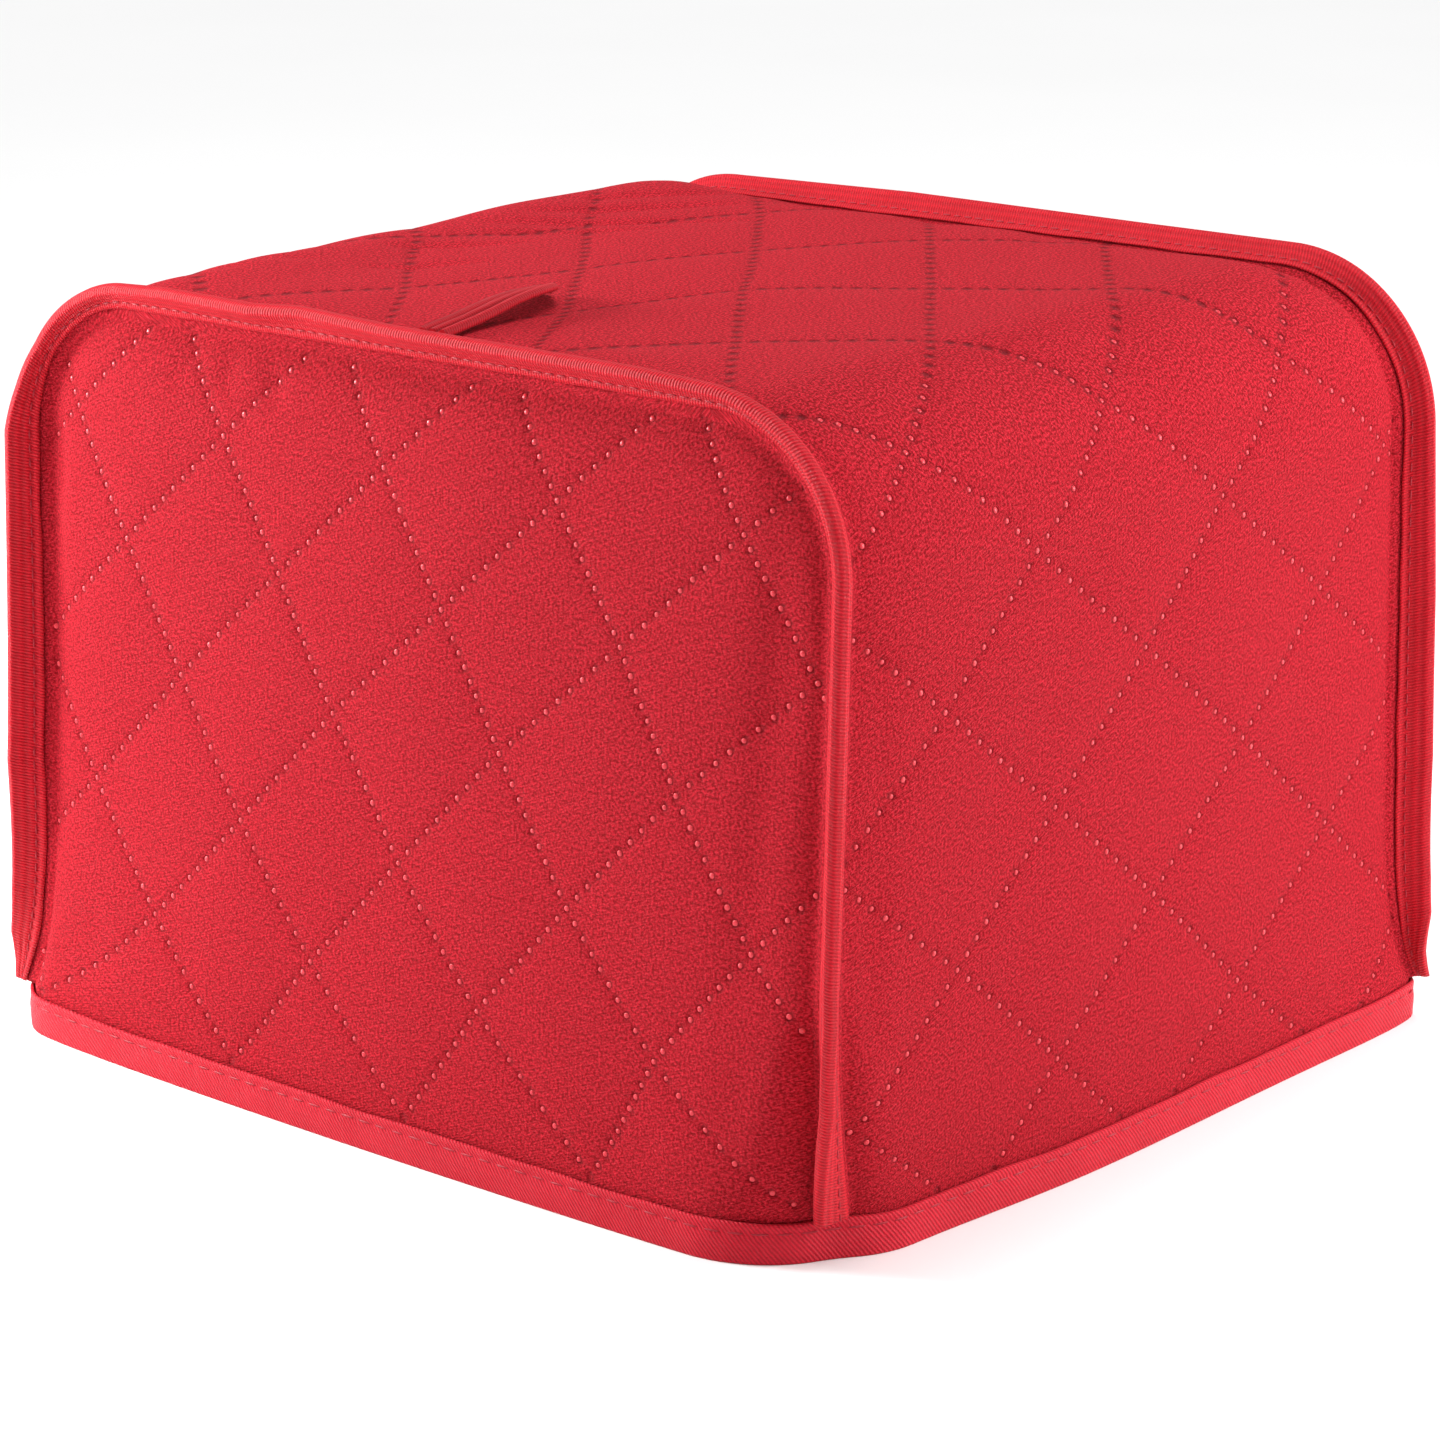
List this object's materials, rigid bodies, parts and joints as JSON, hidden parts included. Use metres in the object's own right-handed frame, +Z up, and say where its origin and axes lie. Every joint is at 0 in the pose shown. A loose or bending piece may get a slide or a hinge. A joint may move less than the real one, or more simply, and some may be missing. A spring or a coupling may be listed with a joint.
{
  "type": "quilted toaster cover",
  "caption": "Boxy quilted cloth cover for a wide toaster, open below, with taped fin seams, a taped hem and a short strap on top.",
  "frame": {"origin": "middle of the cover's footprint, on the surface that its hem stands on", "axes": "+X along the long side of the footprint, across the end panels; +Y from the near end panel to the far one; +Z up"},
  "size_m": [0.3206, 0.283, 0.2282],
  "materials": {
    "quilted_cloth": "brushed red microfibre, welded in diamonds",
    "woven_tape": "red woven tape with fine cross ribs and a slight sheen"
  },
  "bodies": {
    "root": {"near_panel": "quilted_cloth", "far_panel": "quilted_cloth", "body_strip": "quilted_cloth", "near_binding": "woven_tape", "far_binding": "woven_tape", "hem_binding": "woven_tape", "handle_strap": "woven_tape"}
  },
  "joints": []
}
